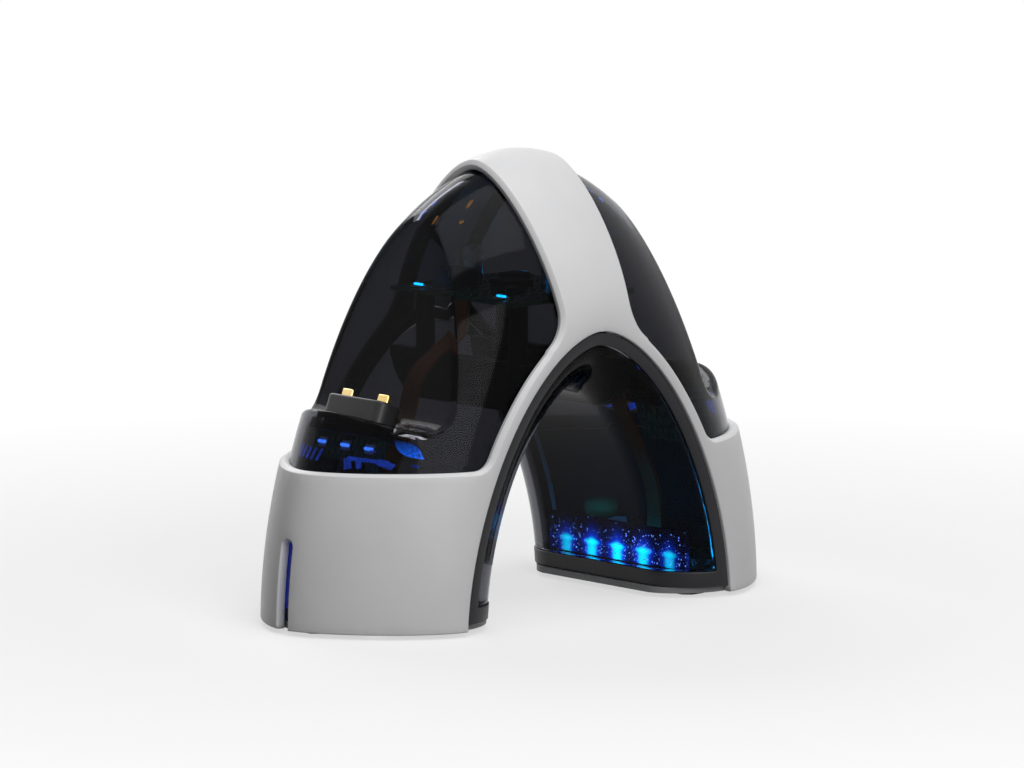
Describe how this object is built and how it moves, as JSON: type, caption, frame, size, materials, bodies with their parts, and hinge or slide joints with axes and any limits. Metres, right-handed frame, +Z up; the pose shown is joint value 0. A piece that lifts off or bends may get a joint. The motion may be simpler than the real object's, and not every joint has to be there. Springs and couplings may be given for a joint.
{
  "type": "controller charging dock",
  "caption": "Arch-shaped charging dock with a white shell, smoked see-through cradles on both sides, lit boards inside and an open tunnel through its middle.",
  "frame": {"origin": "on the ground under the middle of the arch", "axes": "+X from foot to foot towards the foot with the power inlet, +Y through the tunnel to the inlet's side, +Z up"},
  "size_m": [0.1596, 0.07, 0.12],
  "materials": {
    "shell_white": "satin moulded",
    "smoked_clear": "glossy, smoked and see-through",
    "frame_black": "satin moulded",
    "plate_grey": "fine texture",
    "pad_rubber": "matte",
    "screw_steel": "zinc plated",
    "inlet_steel": "drawn",
    "connector_black": "fine texture",
    "contact_gold": "plated",
    "board_green": "solder resist",
    "chip_black": "moulded",
    "coil_grey": "ferrite",
    "can_metal": "drawn can",
    "lamp_blue": "lit lens",
    "pipe_blue": "dim light guide",
    "cable_orange": "insulation"
  },
  "bodies": {
    "root": {"outer_shell": "shell_white", "tunnel_frame": "frame_black", "tunnel_window": "smoked_clear", "base_screws": "screw_steel", "power_inlet": "inlet_steel", "power_inlet_tongue": "connector_black", "main_board": "board_green", "main_board_chips": "chip_black", "main_board_coils": "coil_grey", "main_board_cans": "can_metal", "main_board_lamps": "lamp_blue", "cradle_right": "smoked_clear", "cradle_left": "smoked_clear", "charge_connector_right": "connector_black", "charge_connector_left": "connector_black", "charge_contacts_right": "contact_gold", "charge_contacts_left": "contact_gold", "charge_board_right": "board_green", "charge_board_left": "board_green", "charge_chips_right": "chip_black", "charge_chips_left": "chip_black", "charge_lamps_right": "lamp_blue", "charge_lamps_left": "lamp_blue", "base_plate_right": "plate_grey", "base_plate_left": "plate_grey", "lamp_board_right": "board_green", "lamp_board_left": "board_green", "lamps_right": "lamp_blue", "lamps_left": "lamp_blue", "light_pipe_right": "pipe_blue", "light_pipe_left": "pipe_blue", "leg_cable_right": "cable_orange", "leg_cable_left": "cable_orange", "foot_pad_right_1": "pad_rubber", "foot_pad_right_2": "pad_rubber", "foot_pad_right_3": "pad_rubber", "foot_pad_left_1": "pad_rubber", "foot_pad_left_2": "pad_rubber", "foot_pad_left_3": "pad_rubber"}
  },
  "joints": []
}
